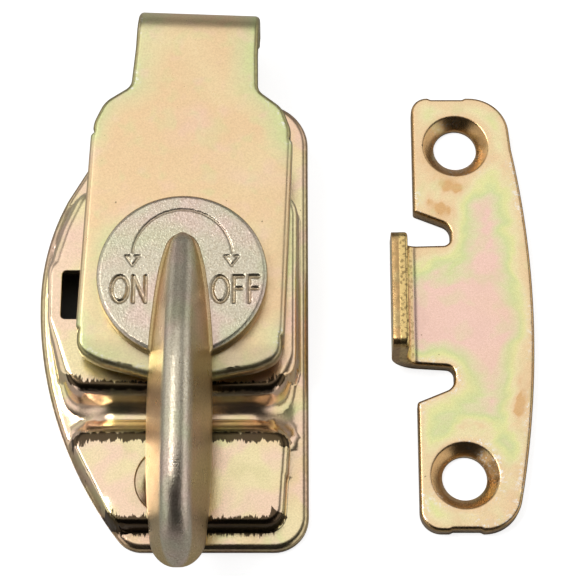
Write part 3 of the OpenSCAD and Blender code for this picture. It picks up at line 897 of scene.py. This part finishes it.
def make_lever():
    """The casting: the disc and the arm. Engraving is marked dark, and the arm's ridge is worn to silver."""
    knob, knob_faces = make_knob()
    arm, arm_faces = make_arm()
    n = len(knob)
    faces = knob_faces + [tuple(i + n for i in f) for f in arm_faces]
    verts = np.array(knob + arm)
    cut = np.zeros(len(verts))
    on_top = (verts[:n, 2] > KNOB_TOP - 0.3) & (np.hypot(verts[:n, 0], verts[:n, 1]) < 9.6)
    cut[:n] = np.where(on_top, np.clip((KNOB_TOP - verts[:n, 2]) / 0.2, 0, 1), 0)
    worn = np.zeros(len(verts))
    ridge = np.array([eased(ROUND, -y) for y in verts[n:, 1]])
    top = np.array([eased(RIDGE, -y) for y in verts[n:, 1]])
    worn[:n] = np.where(verts[:n, 2] > KNOB_TOP - 0.3, 1, 0)
    worn[n:] = np.clip((verts[n:, 2] - top + ridge * 0.95) / 0.5, 0, 1)
    return new_object("lever_casting", verts, faces, mark=cut, worn=worn)


# ---------------------------------------------------------------- pieces

def finish_piece(obj, body, node, material):
    """Puts a made piece in the place of its CAD node."""
    obj.data.materials.append(material)
    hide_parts(node)
    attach(obj, body)


finish_piece(make_housing(), "housing", "base_plate", housing_finish())
finish_piece(make_strike(), "housing", "strike_plate", strike_finish())
finish_piece(make_hook(), "hook", "hook_plate", hook_finish())
finish_piece(make_lever(), "lever", "lever", cast_finish())

zinc_metal, bush_metal = zinc_finish(), bush_finish()
for node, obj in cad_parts.items():
    if obj.hide_render:
        continue
    for slot in obj.material_slots:
        slot.material = bush_metal if node == "bearing_bush" else zinc_metal


# ---------------------------------------------------------------- stage

def make_floor():
    """A white table, over-exposed to the lens. Where the housing covers it, it is painted dark and gets no
    glow, as painted shade for the hollow inside the housing.
    """
    low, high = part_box("base_plate")
    xs = [-2.0, low[0] + 0.0021, high[0] - 0.001, 2.0]
    ys = [-2.0, low[1] + 0.0185, high[1] - 0.0155, 2.0]
    faces = [(4 * j + i, 4 * j + i + 1, 4 * j + i + 5, 4 * j + i + 4) for j in range(3) for i in range(3)]
    mesh = bpy.data.meshes.new("floor")
    mesh.from_pydata([(x, y, -2e-5) for y in ys for x in xs], [], faces)
    floor = bpy.data.objects.new("floor", mesh)
    bpy.context.scene.collection.objects.link(floor)
    # The second material is painted shade: dark and without glow, for the floor inside the housing.
    for name, pale, glow in (("table_white", 0.55, 0.8), ("table_painted_shade", 0.12, 0.0)):
        mat, tree, bsdf = shader_tree(name)
        bsdf.inputs["Base Color"].default_value = (pale, pale, pale, 1)
        bsdf.inputs["Roughness"].default_value = 0.9
        bsdf.inputs["Emission Color"].default_value = (1, 1, 1, 1)
        seen = tree.nodes.new("ShaderNodeLightPath").outputs["Is Camera Ray"]
        tree.links.new(maths(tree, "MULTIPLY", seen, glow), bsdf.inputs["Emission Strength"])
        mesh.materials.append(mat)
    # The patch under the housing gets the painted shade.
    mesh.polygons[4].material_index = 1


def make_light():
    """A large soft lamp overhead towards the back, bright reflectors low at both sides, and a dark front."""
    world = bpy.data.worlds.new("studio")
    world.use_nodes = True
    tree = world.node_tree
    toward = tree.nodes.new("ShaderNodeTexCoord").outputs["Generated"]
    split = tree.nodes.new("ShaderNodeSeparateXYZ")
    tree.links.new(toward, split.inputs[0])
    x, y, z = split.outputs
    facing = tree.nodes.new("ShaderNodeVectorMath")
    facing.operation = "DOT_PRODUCT"
    facing.inputs[1].default_value = Vector((-0.06, 0.42, 0.9)).normalized()
    tree.links.new(toward, facing.inputs[0])
    lamp = smooth(tree, facing.outputs["Value"], 0.80, 0.93)
    low = maths(tree, "SUBTRACT", 1.0, smooth(tree, z, 0.35, 0.7))
    side = maths(tree, "MULTIPLY", smooth(tree, maths(tree, "ABSOLUTE", x), 0.5, 0.8), low)
    back = maths(tree, "MULTIPLY", smooth(tree, y, -0.35, 0.5), 0.2)
    level = maths(tree, "ADD", maths(tree, "MULTIPLY", side, 1.15), maths(tree, "ADD", back, 0.02))
    level = maths(tree, "MAXIMUM", level, maths(tree, "MULTIPLY", lamp, 1.06))
    background = tree.nodes["Background"]
    tree.links.new(mixed(tree, level, (0, 0, 0), (1, 1, 1)), background.inputs["Color"])
    bpy.context.scene.world = world
    key = bpy.data.lights.new("key", "SUN")
    key.energy = 0.8
    key.angle = math.radians(20)
    sun = bpy.data.objects.new("key", key)
    bpy.context.scene.collection.objects.link(sun)
    sun.rotation_euler = Vector((-0.5, 0.1, 0.86)).to_track_quat("Z", "Y").to_euler()


def make_camera():
    """Looks down from the tail side, a little over 20 degrees from straight above."""
    tilt = math.radians(20.5)
    away = 0.26
    target = (0.01259, 0.0031, 0)
    cam = bpy.data.cameras.new("camera")
    cam.lens = 130
    cam.sensor_width = 36
    cam.clip_start = 0.01
    obj = bpy.data.objects.new("camera", cam)
    bpy.context.scene.collection.objects.link(obj)
    obj.location = (target[0], target[1] - away * math.sin(tilt), target[2] + away * math.cos(tilt))
    obj.rotation_euler = (tilt, 0, 0)
    bpy.context.scene.camera = obj


make_floor()
make_light()
make_camera()
bpy.context.scene.view_settings.view_transform = "Standard"
